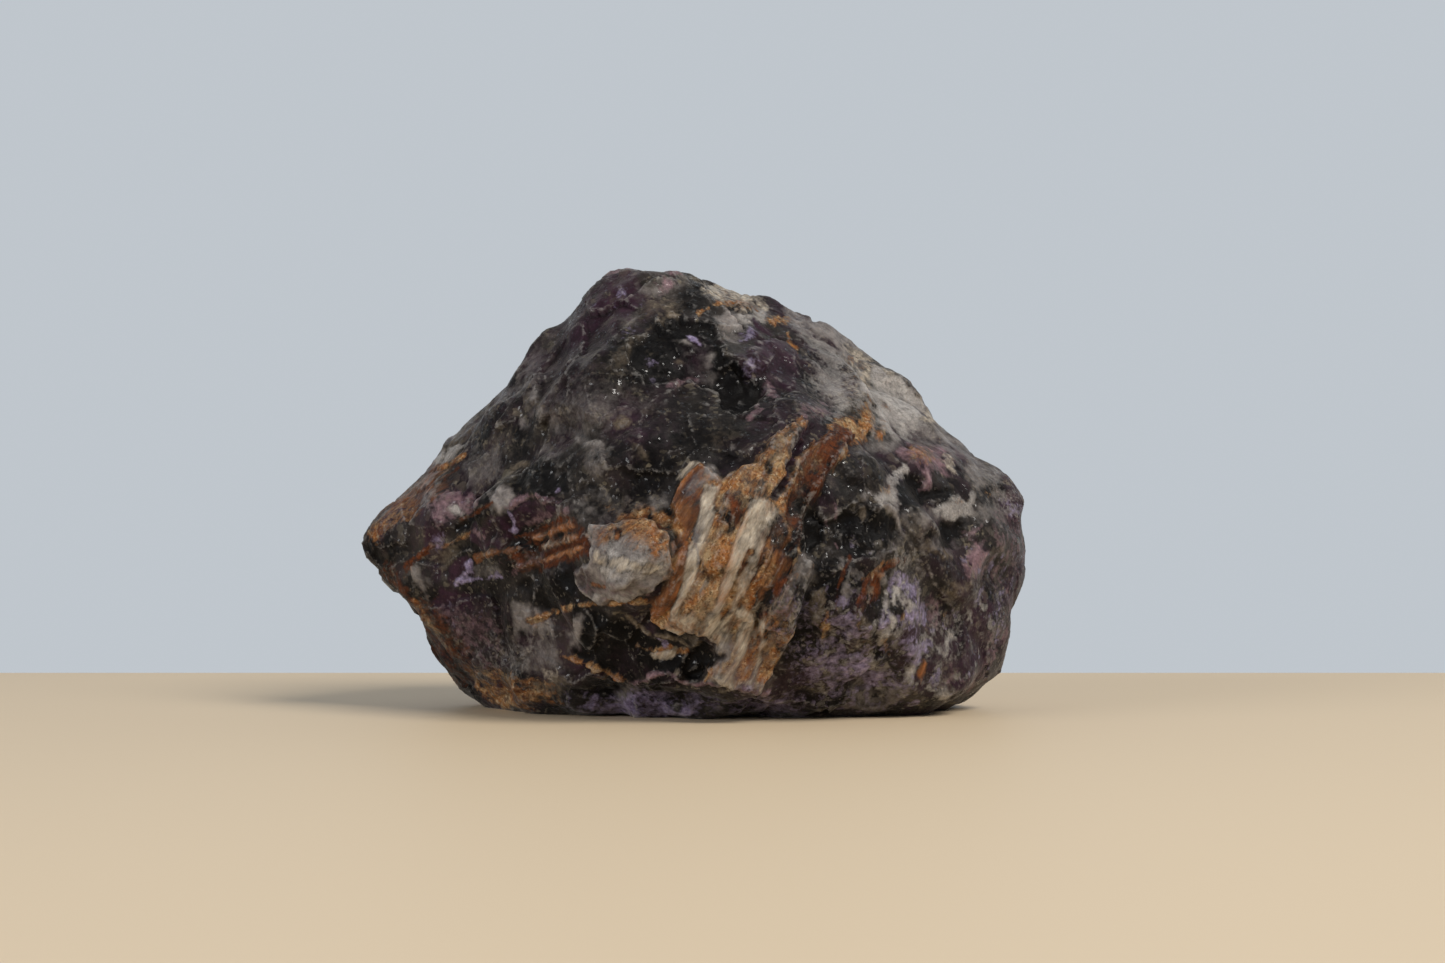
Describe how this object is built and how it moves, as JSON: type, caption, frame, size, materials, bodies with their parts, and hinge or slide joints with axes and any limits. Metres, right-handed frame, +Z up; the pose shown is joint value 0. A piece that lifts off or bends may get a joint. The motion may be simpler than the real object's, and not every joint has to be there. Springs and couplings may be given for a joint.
{
  "type": "raw rainbow fluorite",
  "caption": "Rough chunk of dark purple fluorite with ochre and milky crystal veins, a mineral specimen that rests on its own flat spot.",
  "frame": {"origin": "on the resting plane, under the middle of the chunk's box", "axes": "+Z up from the flat resting spot, +X along the longest side to the right of the veined face, -Y out of the veined face"},
  "size_m": [0.0916, 0.0672, 0.0598],
  "materials": {
    "fluorite": "glassy broken crystal, dark purple with milky and powdery ochre veins"
  },
  "bodies": {
    "root": {"fluorite_chunk": "fluorite"}
  },
  "joints": []
}
